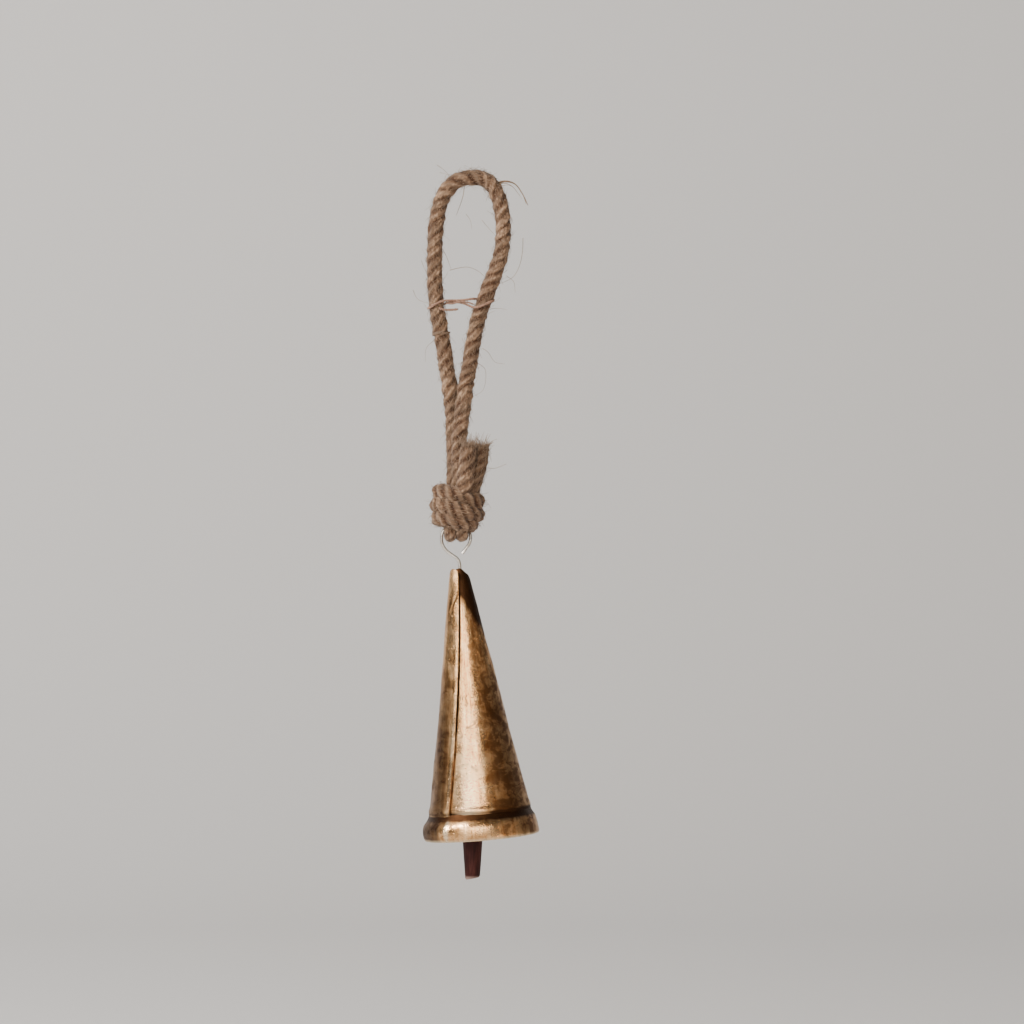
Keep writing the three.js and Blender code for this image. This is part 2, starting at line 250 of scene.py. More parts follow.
def grain(rng, rows, columns, cells_down, cells_round):
    """Smooth random values from -1 to 1 on a sheet that meets itself across its columns."""
    cells_down, cells_round = max(2, int(cells_down)), max(3, int(cells_round))
    grid = rng.uniform(-1, 1, (cells_down + 2, cells_round))
    y = np.linspace(0, cells_down, rows)
    x = np.arange(columns) * cells_round / columns
    y0, x0 = y.astype(int), x.astype(int)
    fy, fx = y - y0, x - x0
    fy, fx = (fy * fy * (3 - 2 * fy))[:, None], (fx * fx * (3 - 2 * fx))[None, :]
    y1, x1 = y0 + 1, (x0 + 1) % cells_round
    top = grid[np.ix_(y0, x0)] * (1 - fx) + grid[np.ix_(y0, x1)] * fx
    low = grid[np.ix_(y1, x0)] * (1 - fx) + grid[np.ix_(y1, x1)] * fx
    return top * (1 - fy) + low * fy


def round_columns(columns):
    return np.arange(columns) * TURN / columns


def tube_points(line, side, other, reach, theta):
    """Rings of points round a line, each at its own reach from it."""
    return (
        line[:, None, :]
        + reach[..., None] * np.cos(theta)[None, :, None] * side[:, None, :]
        + reach[..., None] * np.sin(theta)[None, :, None] * other[:, None, :]
    ).reshape(-1, 3)


def straightened(along, reach, theta):
    """The same rings as if the line were straight, for shaders that follow the fibre."""
    down = np.repeat(along[:, None], len(theta), 1)
    return np.stack([down, reach * np.cos(theta), reach * np.sin(theta)], -1).reshape(-1, 3)


def tube_faces(rows, columns):
    i, j = np.meshgrid(np.arange(rows - 1), np.arange(columns), indexing="ij")
    k = (j + 1) % columns
    corners = [i * columns + j, i * columns + k, (i + 1) * columns + k, (i + 1) * columns + j]
    quads = np.stack(corners, -1)
    faces = quads.reshape(-1, 4).tolist()
    faces.append(list(range(columns))[::-1])
    faces.append([(rows - 1) * columns + j for j in range(columns)])
    return faces


def mesh_object(name, verts, faces):
    mesh = bpy.data.meshes.new(name)
    mesh.from_pydata(np.asarray(verts).tolist(), [], faces)
    mesh.validate()
    mesh.polygons.foreach_set("use_smooth", [True] * len(mesh.polygons))
    mesh.update()
    made = bpy.data.objects.new(name, mesh)
    bpy.context.scene.collection.objects.link(made)
    return made


def give_vectors(piece, name, values):
    attribute = piece.data.attributes.new(name, "FLOAT_VECTOR", "POINT")
    attribute.data.foreach_set("vector", np.asarray(values, np.float32).ravel())


# -------------------- jute

ROPE_STEP = 0.00034
ROPE_COLUMNS = 72
STATION_GAP = 0.006  # the rope's twist and its strands' sizes change over this length
YARNS_ACROSS = 2.6
YARN_DEPTH = 0.00011
STRAND_UNEVEN = 0.00015

# Height, length along the rope and number round it, of lumps that a knot makes larger.
ROPE_LUMPS = [(0.00016, 0.004, 6), (0.00017, 0.0015, 18)]
FIBRE_NUBS = (0.00011, 0.0008, 36)

HAIR_TAPER = 0.6
HAIR_THINNEST = 0.000040
HAIR_THICKEST = 0.000085


def laid_rope(name, route, material, seed, swell=1.0, phase=0.0, lay=ROPE_LAY, depth=0.20,
              round_ends=False, lumpy=1.0):
    """Three strands laid right-handed, each of a few yarns, as one closed surface."""
    rng = np.random.default_rng(seed)
    line, along = smooth_route(route, ROPE_STEP)
    length = along[-1]
    radius = ROPE_DIAMETER / 2 * swell
    theta = round_columns(ROPE_COLUMNS)
    stations = np.linspace(0, length, max(3, int(length / STATION_GAP)))

    def at_stations(most):
        return np.interp(along, stations, rng.uniform(-most, most, len(stations)))

    def uneven(lump_length, lumps_round):
        return grain(rng, len(line), ROPE_COLUMNS, length / lump_length, lumps_round)

    twist = TURN * along / lay + phase + at_stations(0.5)
    local = theta[None, :] - twist[:, None] + 0.17 * uneven(0.0026, 9)
    third = (np.floor((local + TURN / 6) / (TURN / 3)) % 3).astype(int)
    across = ((local + TURN / 6) % (TURN / 3)) / (TURN / 6) - 1
    lobe = np.clip(np.cos(across * math.pi / 2), 0, 1) ** 0.62
    filled = 0.12 + 0.42 * uneven(0.0032, 8)
    lobe = lobe + (1 - lobe) * np.clip(filled, 0, 0.75)
    strand_size = np.stack([at_stations(1) for _ in range(3)], 1)
    size = np.take_along_axis(strand_size, third, 1)
    yarn_turn = YARNS_ACROSS * across + 2 * along[:, None] / (lay * 0.5) + 0.37 * third
    yarns = np.cos(math.pi * (yarn_turn + 0.35 * uneven(0.003, 12)))
    reach = radius * (1 - depth) + radius * depth * lobe
    reach += STRAND_UNEVEN * size + YARN_DEPTH * lobe * yarns
    for height, lump_length, lumps_round in ROPE_LUMPS:
        reach += lumpy * height * uneven(lump_length, lumps_round)
    reach += FIBRE_NUBS[0] * uneven(*FIBRE_NUBS[1:])
    if round_ends:
        from_end = np.minimum(along, length - along)
        close = np.sqrt(np.clip(from_end / (radius * 0.7), 0, 1))
        reach *= np.clip(close, 0.12, 1)[:, None]
    _, side, other = carried_frames(line)
    verts = tube_points(line, side, other, reach, theta)
    rope = mesh_object(name, verts, tube_faces(len(line), ROPE_COLUMNS))
    give_vectors(rope, "straight", straightened(along + seed * 0.31, reach, theta))
    # The hollows between strands and the gaps between yarns carried here get painted shade, and the crowns a
    # painted highlight, in the jute material; the strand size gives a tint.
    shade = np.stack([1 - lobe, 0.5 + 0.5 * size, 0.5 - 0.5 * yarns], -1)
    give_vectors(rope, "lay", shade.reshape(-1, 3))
    rope.data.materials.append(material)
    return rope, line


def hair_mesh(name, hairs, material):
    """Fine fibres, each a three-sided tapering tube along its own few points."""
    verts, faces, straight = [], [], []
    corners = [(math.cos(a), math.sin(a)) for a in (0, TURN / 3, 2 * TURN / 3)]
    for index, (points, thickness) in enumerate(hairs):
        points = np.asarray(points, float)
        tangent = np.gradient(points, axis=0)
        tangent /= np.linalg.norm(tangent, axis=1)[:, None] + 1e-12
        side = np.cross(tangent[0], (0.31, 0.71, 0.63))
        side /= np.linalg.norm(side) + 1e-12
        first = len(verts)
        last = len(points) - 1
        for i, (p, t) in enumerate(zip(points, tangent)):
            side = side - t * np.dot(side, t)
            side /= np.linalg.norm(side) + 1e-12
            other = np.cross(t, side)
            r = thickness * (1 - HAIR_TAPER * i / last)
            for a, b in corners:
                verts.append(p + r * (a * side + b * other))
                straight.append((i * 0.001 + index * 0.013, a * r, b * r))
        for i in range(last):
            for j in range(3):
                k = (j + 1) % 3
                a = first + 3 * i
                faces.append((a + j, a + k, a + 3 + k, a + 3 + j))
        faces.append((first + 2, first + 1, first))
        faces.append((first + 3 * last, first + 3 * last + 1, first + 3 * last + 2))
    piece = mesh_object(name, verts, faces)
    give_vectors(piece, "straight", straight)
    piece.data.materials.append(material)
    return piece


def fuzz_along(line, radius, count, rng, longest=0.0045):
    """Loose fibres that lift off a rope, most of them short and lying close."""
    tangent, side, other = carried_frames(line)
    hairs = []
    for _ in range(count):
        i = rng.integers(2, len(line) - 2)
        angle = rng.uniform(0, TURN)
        out = math.cos(angle) * side[i] + math.sin(angle) * other[i]
        round_way = -math.sin(angle) * side[i] + math.cos(angle) * other[i]
        length = min(longest, 0.0009 + rng.exponential(0.0010))
        rise = rng.uniform(0.03, 0.22) if rng.random() < 0.6 else rng.uniform(0.3, 1.0)
        way = tangent[i] * rng.choice((-1, 1)) * rng.uniform(0.4, 1) + round_way * rng.uniform(-0.7, 0.7)
        way /= np.linalg.norm(way)
        start = line[i] + out * radius * 0.9
        curl = rng.uniform(-0.6, 0.6)
        points = []
        for t in np.linspace(0, 1, 4):
            lift = rise * (t - 0.45 * t * t)
            points.append(start + length * (way * t * 0.9 + out * lift + round_way * curl * t * t * 0.5))
        hairs.append((points, rng.uniform(HAIR_THINNEST, HAIR_THICKEST)))
    return hairs


# -------------------- shader helpers


def new_material(name):
    material = bpy.data.materials.new(name)
    material.use_nodes = True
    tree = material.node_tree
    return material, tree, tree.nodes["Principled BSDF"]


def node(tree, kind, inputs=None, **properties):
    made = tree.nodes.new(kind)
    for key, value in properties.items():
        setattr(made, key, value)
    for key, value in (inputs or {}).items():
        if isinstance(value, bpy.types.NodeSocket):
            tree.links.new(value, made.inputs[key])
        else:
            made.inputs[key].default_value = value
    return made


def ramp(tree, factor, stops):
    made = node(tree, "ShaderNodeValToRGB", {"Fac": factor})
    elements = made.color_ramp.elements
    while len(elements) < len(stops):
        elements.new(0.5)
    for element, (place, colour) in zip(elements, stops):
        element.position = place
        element.color = colour if len(colour) == 4 else (*colour, 1)
    return made.outputs["Color"]


def grey(value):
    return (value, value, value, 1)


def mix_colour(tree, factor, a, b):
    made = node(tree, "ShaderNodeMix", {0: factor, 6: a, 7: b}, data_type="RGBA")
    return made.outputs[2]


def maths(tree, operation, a, b=0.0, clamp=False):
    made = node(tree, "ShaderNodeMath", {0: a, 1: b}, operation=operation, use_clamp=clamp)
    return made.outputs[0]


def times(tree, a, b, clamp=False):
    return maths(tree, "MULTIPLY", a, b, clamp)


def shares(tree, a, share_of_a, b, share_of_b):
    """Two values added up, each by its share."""
    return maths(tree, "ADD", times(tree, a, share_of_a), times(tree, b, share_of_b))


def noise(tree, vector, scale, detail, rough, distortion=0.0):
    settings = {"Scale": scale, "Detail": detail, "Roughness": rough, "Distortion": distortion}
    return node(tree, "ShaderNodeTexNoise", {"Vector": vector, **settings}).outputs["Fac"]


def streaked(tree, vector, scale, detail, rough):
    """Noise drawn out into streaks by a scale of its own in each direction."""
    drawn = node(tree, "ShaderNodeMapping", {"Vector": vector, "Scale": scale}).outputs["Vector"]
    return noise(tree, drawn, 1, detail, rough)


def set_shader(tree, shader, base, rough, bump, strength, distance, levels):
    tree.links.new(base, shader.inputs["Base Color"])
    tree.links.new(rough, shader.inputs["Roughness"])
    made = node(tree, "ShaderNodeBump", {"Height": bump, "Strength": strength, "Distance": distance})
    tree.links.new(made.outputs["Normal"], shader.inputs["Normal"])
    for name, level in levels.items():
        shader.inputs[name].default_value = level


def new_group(name, takes, gives):
    """An empty node group with its sockets, and the nodes that stand for them inside."""
    tree = bpy.data.node_groups.new(name, "ShaderNodeTree")
    for direction, sockets in (("INPUT", takes), ("OUTPUT", gives)):
        for socket, kind in sockets.items():
            tree.interface.new_socket(socket, in_out=direction, socket_type="NodeSocket" + kind)
    inside = tree.nodes.new("NodeGroupInput").outputs
    out = tree.nodes.new("NodeGroupOutput").inputs
    return tree, inside, out


def fibre_group():
    """Streaks of fibre along a straightened rope: their colour mask and their relief."""
    tree, inside, out = new_group(
        "jute_fibres", {"Straight": "Vector"}, {"Streaks": "Float", "Relief": "Float"}
    )
    coarse = streaked(tree, inside["Straight"], (260, 1500, 1500), 4, 0.6)
    fine = streaked(tree, inside["Straight"], (500, 5200, 5200), 3, 0.6)
    tree.links.new(shares(tree, coarse, 0.6, fine, 0.4), out["Streaks"])
    tree.links.new(shares(tree, coarse, 0.4, fine, 0.6), out["Relief"])
    return tree


def jute_material(name, fibres):
    """Jute with a painted highlight on its strands' crowns, painted shade in the gaps between its yarns and
    deeper painted shade in the hollows between strands.
    """
    pale, mid, dark = JUTE_COLOURS[name]
    material, tree, shader = new_material(name)
    straight = node(tree, "ShaderNodeAttribute", attribute_name="straight").outputs["Vector"]
    lay = node(tree, "ShaderNodeAttribute", attribute_name="lay").outputs["Vector"]
    lay = node(tree, "ShaderNodeSeparateXYZ", {"Vector": lay})
    hollow, strand, yarn_gap = lay.outputs["X"], lay.outputs["Y"], lay.outputs["Z"]
    group = node(tree, "ShaderNodeGroup", {"Straight": straight}, node_tree=fibres)
    streaks = group.outputs["Streaks"]
    patches = noise(tree, straight, 190, 3, 0.5)
    flecks = noise(tree, straight, 950, 3, 0.6)
    tone = maths(tree, "ADD", times(tree, streaks, 0.48), shares(tree, patches, 0.26, flecks, 0.26))
    colour = ramp(tree, tone, [(0.42, dark), (0.50, mid), (0.575, pale)])
    # Painted highlight on the crowns; painted shade in the yarn gaps and in the hollows between strands.
    crown_highlight = maths(tree, "POWER", maths(tree, "SUBTRACT", 1.0, hollow, True), 5)
    yarn_gap_shade = maths(tree, "POWER", yarn_gap, 2.5)
    hollow_shade = maths(tree, "POWER", hollow, 1.25)
    for where, share, over in (
        (crown_highlight, 0.26, (0.60, 0.42, 0.285, 1)),
        (strand, 0.2, (0.22, 0.115, 0.065, 1)),
        (yarn_gap_shade, 0.45, (0.12, 0.058, 0.028, 1)),
        (hollow_shade, 1.15, (0.060, 0.024, 0.010, 1)),
    ):
        colour = mix_colour(tree, times(tree, where, share, True), colour, over)
    rough = ramp(tree, streaks, [(0.3, grey(0.95)), (0.7, grey(0.72))])
    levels = {"Sheen Weight": 0.15, "Sheen Roughness": 0.5, "Specular IOR Level": 0.25}
    set_shader(tree, shader, colour, rough, group.outputs["Relief"], 1.0, 0.0003, levels)
    return material


# -------------------- knot

KNOT_TURNS = [
    # name, middle x, half width, z at left, z at right, depth in y, rope swell, seed
    ("knot_upper_turn", -0.0051, 0.0062, -0.1108, -0.1142, 0.0057, 1.24, 11),
    ("knot_middle_turn", -0.0056, 0.0064, -0.1152, -0.1186, 0.0062, 1.24, 12),
    ("knot_lower_turn", -0.0065, 0.0054, -0.1199, -0.1222, 0.0055, 1.18, 13),
]
KNOT_MIDDLE_Y = -0.0009
KNOT_TUCK = 0.0012
KNOT_LAY = 0.0090  # the rope is twisted up tighter where it is knotted
BIGHT_TOP_Z = EYE_TOP_Z + 0.0062

# Each bight's name, side of the hook and seed; each cut end's name, swell and seed.
BIGHTS = [("hook_bight_left", -1, 14), ("hook_bight_right", 1, 15)]
TAILS = [("tail_front", 1.08, 16), ("tail_side", 0.94, 17)]
LONE_FIBRE = [(0.0047, -0.005, -0.102), (0.008, -0.007, -0.1022), (0.0122, -0.006, -0.1006)]


def turn_route(middle, half, left_z, right_z, depth, tuck):
    """One open turn round the knot, its ends tucked inside at the back."""
    points = []
    for degrees in range(-215, 216, 15):
        angle = math.radians(degrees)
        inwards = max(0.0, (abs(degrees) - 170) / 45)
        reach = 1 - 0.55 * inwards
        across = math.sin(angle)
        z = left_z + (right_z - left_z) * (across + 1) / 2
        z += math.copysign(tuck * inwards, degrees)
        points.append((middle + half * reach * across, KNOT_MIDDLE_Y - depth * reach * math.cos(angle), z))
    return points


def bight_route(x):
    """Down in front of the hook's wire, under it and up behind."""
    points = [(x, -BIGHT_RADIUS * 0.9, BIGHT_TOP_Z)]
    for i in range(9):
        angle = i / 8 * math.pi
        points.append((x, -BIGHT_RADIUS * math.cos(angle), EYE_TOP_Z - BIGHT_RADIUS * math.sin(angle)))
    points.append((x, BIGHT_RADIUS * 0.9, BIGHT_TOP_Z))
    return points


def make_knot(jute, shade_painted_jute, hair_jute):
    rng = np.random.default_rng(21)
    pieces, hairs = [], []
    half_rope = ROPE_DIAMETER / 2
    for name, middle, half, left_z, right_z, depth, swell, seed in KNOT_TURNS:
        route = turn_route(middle, half, left_z, right_z, depth, KNOT_TUCK)
        piece, line = laid_rope(name, route, jute, seed, swell, seed, KNOT_LAY, 0.30, True, 1.9)
        pieces.append(piece)
        hairs += fuzz_along(line, half_rope * swell, 1500, rng)
    for name, side, seed in BIGHTS:
        route = bight_route(EYE_CENTRE_X + side * BIGHT_OFFSET)
        piece, line = laid_rope(name, route, jute, seed, 0.82, seed, KNOT_LAY, 0.24, True, 0.5)
        pieces.append(piece)
        hairs += fuzz_along(line, half_rope * 0.87, 200, rng, 0.003)
    # The side tail takes the darker copy of the jute, as painted shade.
    for (name, swell, seed), fibre in zip(TAILS, (jute, shade_painted_jute)):
        piece, line = laid_rope(name, TAIL_ROUTES[name], fibre, seed, swell, phase=seed, round_ends=True)
        pieces.append(piece)
        hairs += fuzz_along(line, half_rope * swell, 700, rng, 0.004)
        hairs += frayed_end(line, half_rope * swell, 190, rng)
    hairs.append((smooth_route(LONE_FIBRE, 0.0008)[0], 0.00011))
    pieces.append(hair_mesh("knot_fuzz", hairs, hair_jute))
    for piece in pieces:
        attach(piece, "knot")
    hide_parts("rope_knot")


def frayed_end(line, radius, count, rng):
    """The loosened yarns that stand out of a cut end, a few of them long."""
    tangent, side, other = carried_frames(line)
    end, t, a, b = line[-1], tangent[-1], side[-1], other[-1]
    hairs = []
    for _ in range(count):
        angle = rng.uniform(0, TURN)
        reach = radius * math.sqrt(rng.uniform(0, 1)) * 0.95
        out = math.cos(angle) * a + math.sin(angle) * b
        start = end + out * reach - t * rng.uniform(0.0006, 0.0026)
        length = rng.uniform(0.0014, 0.0026) + (rng.random() < 0.22) * rng.uniform(0.0006, 0.0026)
        splay = out * (0.1 + 0.5 * reach / radius) + rng.normal(0, 0.2, 3)
        curl = rng.normal(0, 0.5, 3)
        points = [start + length * (t * s * 0.9 + splay * s * s * 0.8 + curl * s ** 3 * 0.6)
                  for s in np.linspace(0, 1, 6)]
        hairs.append((points, rng.uniform(0.00006, 0.00014)))
    return hairs


# -------------------- loose fibres and binding

# Each stray fibre: its thickness, then x and z along it.
STRAY_FIBRES = [
    (0.00036, [(0.0072, 0.0002), (0.0118, 0.0011), (0.0151, 0.0003), (0.0180, -0.0036), (0.0198, -0.0074)]),
    (0.00028, [(0.0074, 0.0003), (0.0116, 0.0013), (0.0150, 0.0003), (0.0178, -0.0034), (0.0192, -0.0070)]),
    (0.00018, [(0.0070, -0.0004), (0.0112, 0.0004), (0.0140, -0.0006), (0.0168, -0.0040)]),
    (0.00009, [(0.0080, -0.0010), (0.0135, -0.0006), (0.0176, -0.0052)]),
    (0.00013, [(0.0180, -0.0193), (0.0178, -0.0242), (0.0168, -0.0290),
               (0.0144, -0.0333), (0.0085, -0.0362)]),
    (0.00017, [(-0.0030, 0.0008), (-0.0036, -0.0040), (-0.0050, -0.0082), (-0.0060, -0.0110)]),
    (0.00009, [(-0.0025, -0.0106), (-0.0010, -0.0128), (-0.0004, -0.0160)]),
    (0.00010, [(0.0032, -0.0128), (0.0050, -0.0150), (0.0085, -0.0190)]),
    (0.00012, [(-0.0121, -0.0220), (-0.0100, -0.0250), (-0.0079, -0.0304)]),
    (0.00013, [(-0.0084, -0.0308), (-0.0052, -0.0300), (-0.0018, -0.0297),
               (0.0020, -0.0312), (0.0055, -0.0345)]),
    (0.00010, [(-0.0130, 0.0070), (-0.0108, 0.0055), (-0.0075, 0.0020)]),
    (0.00008, [(-0.0120, 0.0042), (-0.0096, 0.0036), (-0.0068, 0.0015)]),
    (0.00009, [(-0.0216, -0.0380), (-0.0200, -0.0412), (-0.0150, -0.0432)]),
    (0.00008, [(-0.0185, -0.0275), (-0.0176, -0.0300), (-0.0158, -0.0330)]),
    (0.00010, [(0.0034, -0.0590), (0.0054, -0.0603), (0.0079, -0.0639), (0.0115, -0.0646)]),
    (0.00010, [(0.0012, -0.0640), (0.0043, -0.0664), (0.0036, -0.0740), (0.0005, -0.0761)]),
    (0.00010, [(0.0120, -0.0330), (0.0146, -0.0350), (0.0152, -0.0390)]),
    (0.00010, [(0.0050, -0.0450), (0.0086, -0.0446), (0.0120, -0.0450)]),
    (0.00008, [(-0.0140, -0.0560), (-0.0168, -0.0590), (-0.0172, -0.0640)]),
]

BINDING_ROUND_BOTH = [
    (-0.0162, -0.0003, -0.0446), (-0.0150, -0.0025, -0.0440), (-0.0129, -0.0032, -0.0430),
    (-0.0108, -0.0024, -0.0421), (-0.0082, -0.0013, -0.0418), (-0.0040, -0.0010, -0.0417),
    (-0.0002, -0.0008, -0.0412), (0.0012, 0.0011, -0.0412), (0.0040, 0.0032, -0.0411),
    (0.0067, 0.0021, -0.0412), (0.0074, -0.0003, -0.0417), (0.0062, -0.0025, -0.0425),
    (0.0039, -0.0032, -0.0435), (0.0015, -0.0026, -0.0443), (-0.0004, -0.0015, -0.0441),
    (-0.0028, -0.0009, -0.0430), (-0.0060, -0.0007, -0.0423), (-0.0088, -0.0002, -0.0424),
    (-0.0106, 0.0019, -0.0430), (-0.0131, 0.0032, -0.0436), (-0.0155, 0.0021, -0.0443),
    (-0.0162, -0.0003, -0.0446),
]
BINDING_LOOSE_END = [
    (-0.0124, -0.0032, -0.0446),
    (-0.0103, -0.0023, -0.0452),
    (-0.0078, -0.0013, -0.0452),
    (-0.0052, -0.0010, -0.0449),
]
BINDING_SHORT_STRAND = [
    (-0.0100, -0.0018, -0.0428),
    (-0.0075, -0.0014, -0.0430),
    (-0.0050, -0.0014, -0.0424),
    (-0.0022, -0.0012, -0.0424),
    (0.0006, -0.0013, -0.0433),
]
YARN_STEP = 0.00035
THREAD_RISE = 0.0007
THREAD_SWEEP = 391  # in degrees, a little over one turn


def ring_round_limb(centre, radius, tilt):
    """A thread's turn round one limb, tilted and rising, its ends lying side by side."""
    x, y, z = centre
    points = []
    for degrees in range(0, THREAD_SWEEP, 15):
        across = math.sin(math.radians(degrees))
        depth = math.cos(math.radians(degrees))
        rise = degrees / THREAD_SWEEP * THREAD_RISE
        points.append((x + radius * across, y - radius * depth, z + tilt * across + rise))
    return points


def plied_yarn(routes, ply_radius, pitch):
    """Two thin plies twisted round each other along every route, as one list of tubes."""
    tubes = []
    for route in routes:
        line, along = smooth_route(route, YARN_STEP)
        _, side, other = carried_frames(line)
        for start in (0, math.pi):
            angle = (TURN * along / pitch + start)[:, None]
            out = np.cos(angle) * side + np.sin(angle) * other
            tubes.append((line + ply_radius * 0.95 * out, ply_radius))
    return tubes


def tube_mesh(name, tubes, columns, material, seed):
    rng = np.random.default_rng(seed)
    verts, faces, straight = [], [], []
    theta = round_columns(columns)
    for index, (line, radius) in enumerate(tubes):
        _, side, other = carried_frames(line)
        rows = len(line)
        wander = 1 + 0.14 * grain(rng, rows, columns, rows / 5, 5)
        from_end = np.minimum(np.arange(rows), rows - 1 - np.arange(rows))
        close = np.clip(np.sqrt(from_end / 2 + 0.02), 0.15, 1)
        reach = radius * wander * close[:, None]
        first = len(verts)
        verts += tube_points(line, side, other, reach, theta).tolist()
        faces += [[first + k for k in face] for face in tube_faces(rows, columns)]
        straight.append(straightened(np.arange(rows) * YARN_STEP + index * 0.07, reach, theta))
    piece = mesh_object(name, verts, faces)
    give_vectors(piece, "straight", np.concatenate(straight))
    piece.data.materials.append(material)
    return piece


def make_binding(material, dark_material):
    tubes = plied_yarn([BINDING_ROUND_BOTH, BINDING_LOOSE_END], 0.00026, 0.0022)
    tubes += plied_yarn([BINDING_SHORT_STRAND], 0.00018, 0.0018)
    strands = tube_mesh("tie_yarn_strands", tubes, 12, material, 31)
    rings = [
        ring_round_limb((-0.01145, 0, -0.0538), 0.00303, 0.0004),
        ring_round_limb((-0.01150, 0, -0.0541), 0.00297, 0.0006),
    ]
    thread = tube_mesh("tie_thread", plied_yarn(rings, 0.00018, 0.0016), 12, dark_material, 32)
    for piece in (strands, thread):
        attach(piece, "loop")
    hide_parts("tie_yarn")


def make_stray_fibres(material):
    rng = np.random.default_rng(41)
    hairs = []
    for thickness, route in STRAY_FIBRES:
        depth = rng.uniform(-0.002, 0.0015)
        line = smooth_route([(x, depth + rng.uniform(-0.0004, 0.0004), z) for x, z in route], 0.0007)[0]
        hairs.append((line, thickness))
    piece = hair_mesh("stray_fibres", hairs, material)
    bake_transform(piece)


# -------------------- wire

INNER_EYE_RADIUS = 0.0024
INNER_EYE_DEPTH = 0.053
COIL_RADIUS = 0.0018
COIL_TOP = 0.0043
COIL_PITCH = 0.0015
COIL_TURNS = 3
LINK_WIRE_RADIUS = 0.0005
LINK_DROP = 0.0057

# One half of the link's ring, and where its two ends face each other, as y and z.
LINK_HALF = [
    (0.001125, 0.0012), (0.001725, 0), (0.00275, -0.0019), (0.0031, -0.0034), (0.00305, -0.0047),
    (0.0023, -0.0057),
]
LINK_GAP_LOW = (0.0031, -0.00365)
LINK_GAP_HIGH = (0.00307, -0.00325)

AXIS = Vector((math.sin(LEAN), 0, -math.cos(LEAN)))
ASIDE = Vector((math.cos(LEAN), 0, math.sin(LEAN)))

# The hook's open eye, as x and z from the top of its opening.
EYE_ROUTE = [
    (0.0023, -0.0102), (0.0036, -0.0083), (0.00475, -0.0066), (0.00526, -0.0045), (0.0045, -0.00195),
    (0.0027, -0.0005), (0, 0), (-0.0027, -0.0005), (-0.0045, -0.00195), (-0.00526, -0.0045),
    (-0.0049, -0.0069), (-0.0036, -0.0090), (-0.0016, -0.0106), (0.0003, -0.0119),
]


def on_axis(along, aside=0.0, front=0.0):
    return TIP + AXIS * along + ASIDE * aside + Vector((0, -front, 0))


def select_only(piece):
    bpy.ops.object.select_all(action="DESELECT")
    piece.select_set(True)
    bpy.context.view_layer.objects.active = piece


def bent_wire(name, route, radius, material, step=0.0003):
    """A round wire along a route, its cut ends closed."""
    bpy.ops.object.select_all(action="DESELECT")
    bpy.ops.curve.primitive_nurbs_path_add(location=(0, 0, 0))
    wire = bpy.context.object
    wire.name = name
    curve = wire.data
    curve.splines.clear()
    line = smooth_route(route, step)[0]
    spline = curve.splines.new("POLY")
    spline.points.add(len(line) - 1)
    spline.points.foreach_set("co", np.c_[line, np.ones(len(line))].ravel())
    curve.bevel_depth = radius
    curve.bevel_resolution = 3
    curve.use_fill_caps = True
    curve.twist_mode = "MINIMUM"
    select_only(wire)
    bpy.ops.object.convert(target="MESH")
    wire = bpy.context.object
    bpy.ops.object.mode_set(mode="EDIT")
    bpy.ops.mesh.select_all(action="SELECT")
    bpy.ops.mesh.remove_doubles(threshold=0.000002)
    bpy.ops.mesh.normals_make_consistent(inside=False)
    bpy.ops.object.mode_set(mode="OBJECT")
    bpy.ops.object.shade_smooth_by_angle(angle=math.radians(50))
    wire.data.materials.clear()
    wire.data.materials.append(material)
    return wire


def hanger_route():
    points = [(EYE_CENTRE_X + x, 0, EYE_TOP_Z + z) for x, z in EYE_ROUTE]
    points += [on_axis(-0.0022, -0.0001), on_axis(0), on_axis(0.002), on_axis(COIL_TOP - 0.0006)]
    steps = 12
    for i in range(1, COIL_TURNS * steps):
        turn = i / steps
        reach = COIL_RADIUS * min(1, turn / 0.5, (COIL_TURNS - turn) / 0.5)
        angle = turn * TURN
        points.append(on_axis(COIL_TOP + COIL_PITCH * turn, reach * math.cos(angle), reach * math.sin(angle)))
    end = COIL_TOP + COIL_PITCH * COIL_TURNS
    points += [on_axis(end + 0.0008), on_axis(end + 0.003), on_axis(0.03), on_axis(0.046), on_axis(0.049)]
    for degrees in range(35, 326, 10):
        angle = math.radians(degrees)
        along = INNER_EYE_DEPTH - INNER_EYE_RADIUS * math.cos(angle)
        points.append(on_axis(along, INNER_EYE_RADIUS * math.sin(angle)))
    return points


def link_route():
    """The link's ring round the hanger's inner eye, open between its two cut ends."""
    middle = on_axis(INNER_EYE_DEPTH + INNER_EYE_RADIUS)
    mirror = [(-y, z) for y, z in reversed(LINK_HALF)]
    ring = [(0, 0.0015), *LINK_HALF, (0, -LINK_DROP), *mirror]
    turned = [*ring[4:], *ring[:4]]
    turned[0] = LINK_GAP_LOW
    turned.append(LINK_GAP_HIGH)
    return [(middle.x, y, middle.z + z) for y, z in turned]


def make_wires(steel):
    hanger = bent_wire("hanger_hook", hanger_route(), WIRE_RADIUS, steel)
    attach(hanger, "hanger")
    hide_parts("hanger_wire")
    link = bent_wire("clapper_ring", link_route(), LINK_WIRE_RADIUS, steel, 0.0002)
    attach(link, "link")
    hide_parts("clapper_link")


# -------------------- bell

# The seam runs down the front, drifting to the left, where the sheet's edge laps over itself.
SEAM_AT_TIP = math.radians(-9)
SEAM_AT_MOUTH = math.radians(-38)
LAP_STEP = 0.00095
LAP_FADE = 0.012
LAP_WIDTH = 0.005
CREASE_DEPTH = 0.00042
SHELL_COLUMNS = 210
SHELL_ROWS = 160


def smooth(x, low, high):
    t = np.clip((x - low) / (high - low), 0, 1)
    return t * t * (3 - 2 * t)


def hump(x, middle, width):
    return np.exp(-(((x - middle) / width) ** 2))


